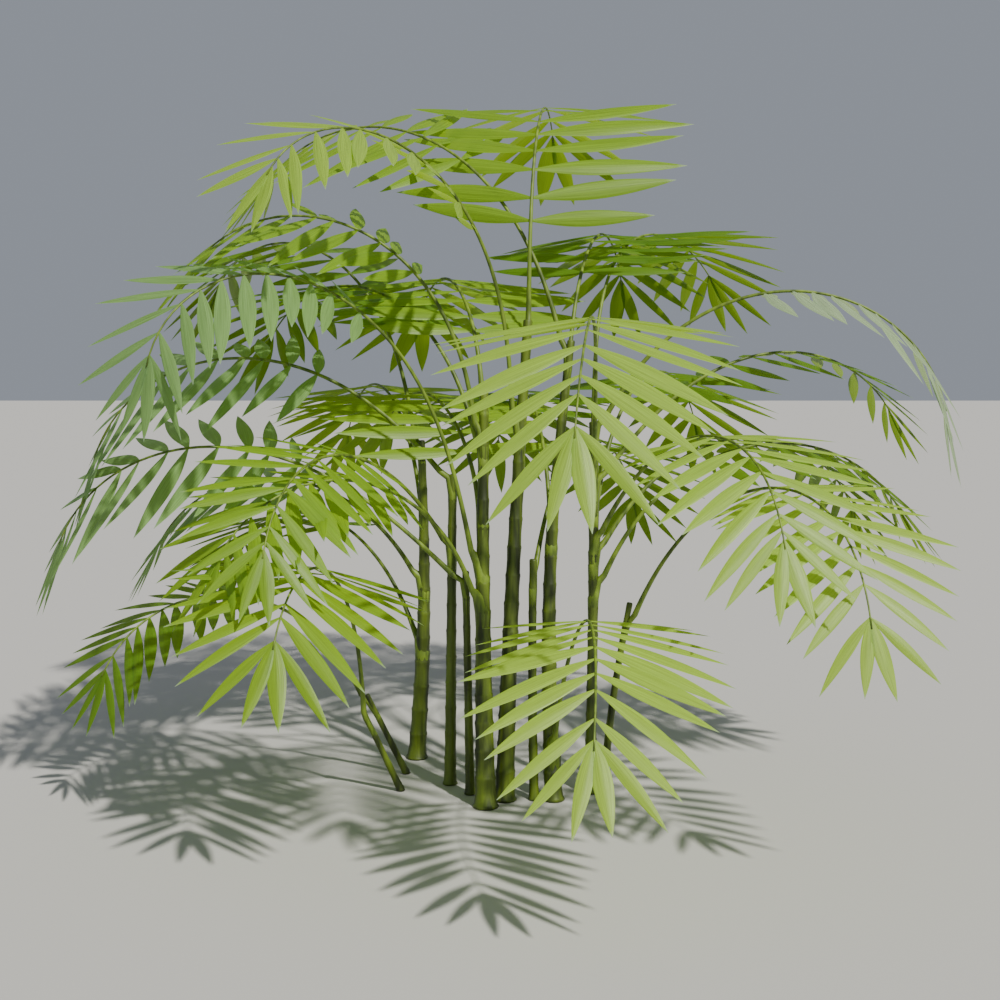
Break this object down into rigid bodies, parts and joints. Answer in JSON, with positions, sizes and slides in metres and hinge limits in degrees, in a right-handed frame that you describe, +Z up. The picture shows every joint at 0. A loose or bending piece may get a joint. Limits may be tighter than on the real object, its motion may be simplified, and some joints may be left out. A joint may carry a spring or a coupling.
{
  "type": "parlor palm",
  "caption": "Clump of slender green canes with arching feather fronds, rooted in the ground, about one metre tall.",
  "frame": {"origin": "on the ground under the middle of the main cane's flat foot", "axes": "+Z up along the canes, -Y towards the side seen in the picture, +X to its right"},
  "size_m": [1.379, 1.2352, 1.0668],
  "materials": {
    "cane": "satin",
    "leaf": "satin"
  },
  "bodies": {
    "root": {"cane_left_back": "cane", "cane_left": "cane", "cane_slim": "cane", "cane_front": "cane", "cane_main": "cane", "cane_short": "cane", "cane_right": "cane", "cane_outer": "cane", "cane_leaning_right": "cane", "cane_leaning_left": "cane", "cane_leaning_back": "cane", "frond_low_front": "leaf", "frond_high_front": "leaf", "frond_right_front": "leaf", "frond_far_right_front": "leaf", "frond_left_front": "leaf", "frond_left_mid": "leaf", "frond_right_arch": "leaf", "frond_top": "leaf", "frond_top_left": "leaf", "frond_tall_left": "leaf", "frond_left_arch": "leaf", "frond_left_high": "leaf", "frond_left_long": "leaf", "frond_left_longer": "leaf", "frond_right_mid": "leaf", "frond_right_back": "leaf", "frond_centre_back": "leaf", "frond_centre_low": "leaf", "frond_left_low": "leaf", "frond_left_side": "leaf", "frond_right_side": "leaf", "frond_back_right": "leaf", "frond_back": "leaf", "frond_back_left": "leaf", "frond_back_low_right": "leaf", "frond_back_low_left": "leaf", "frond_centre_left": "leaf", "frond_inner_left": "leaf", "frond_inner_right": "leaf", "frond_back_high": "leaf", "frond_back_top_left": "leaf"}
  },
  "joints": []
}
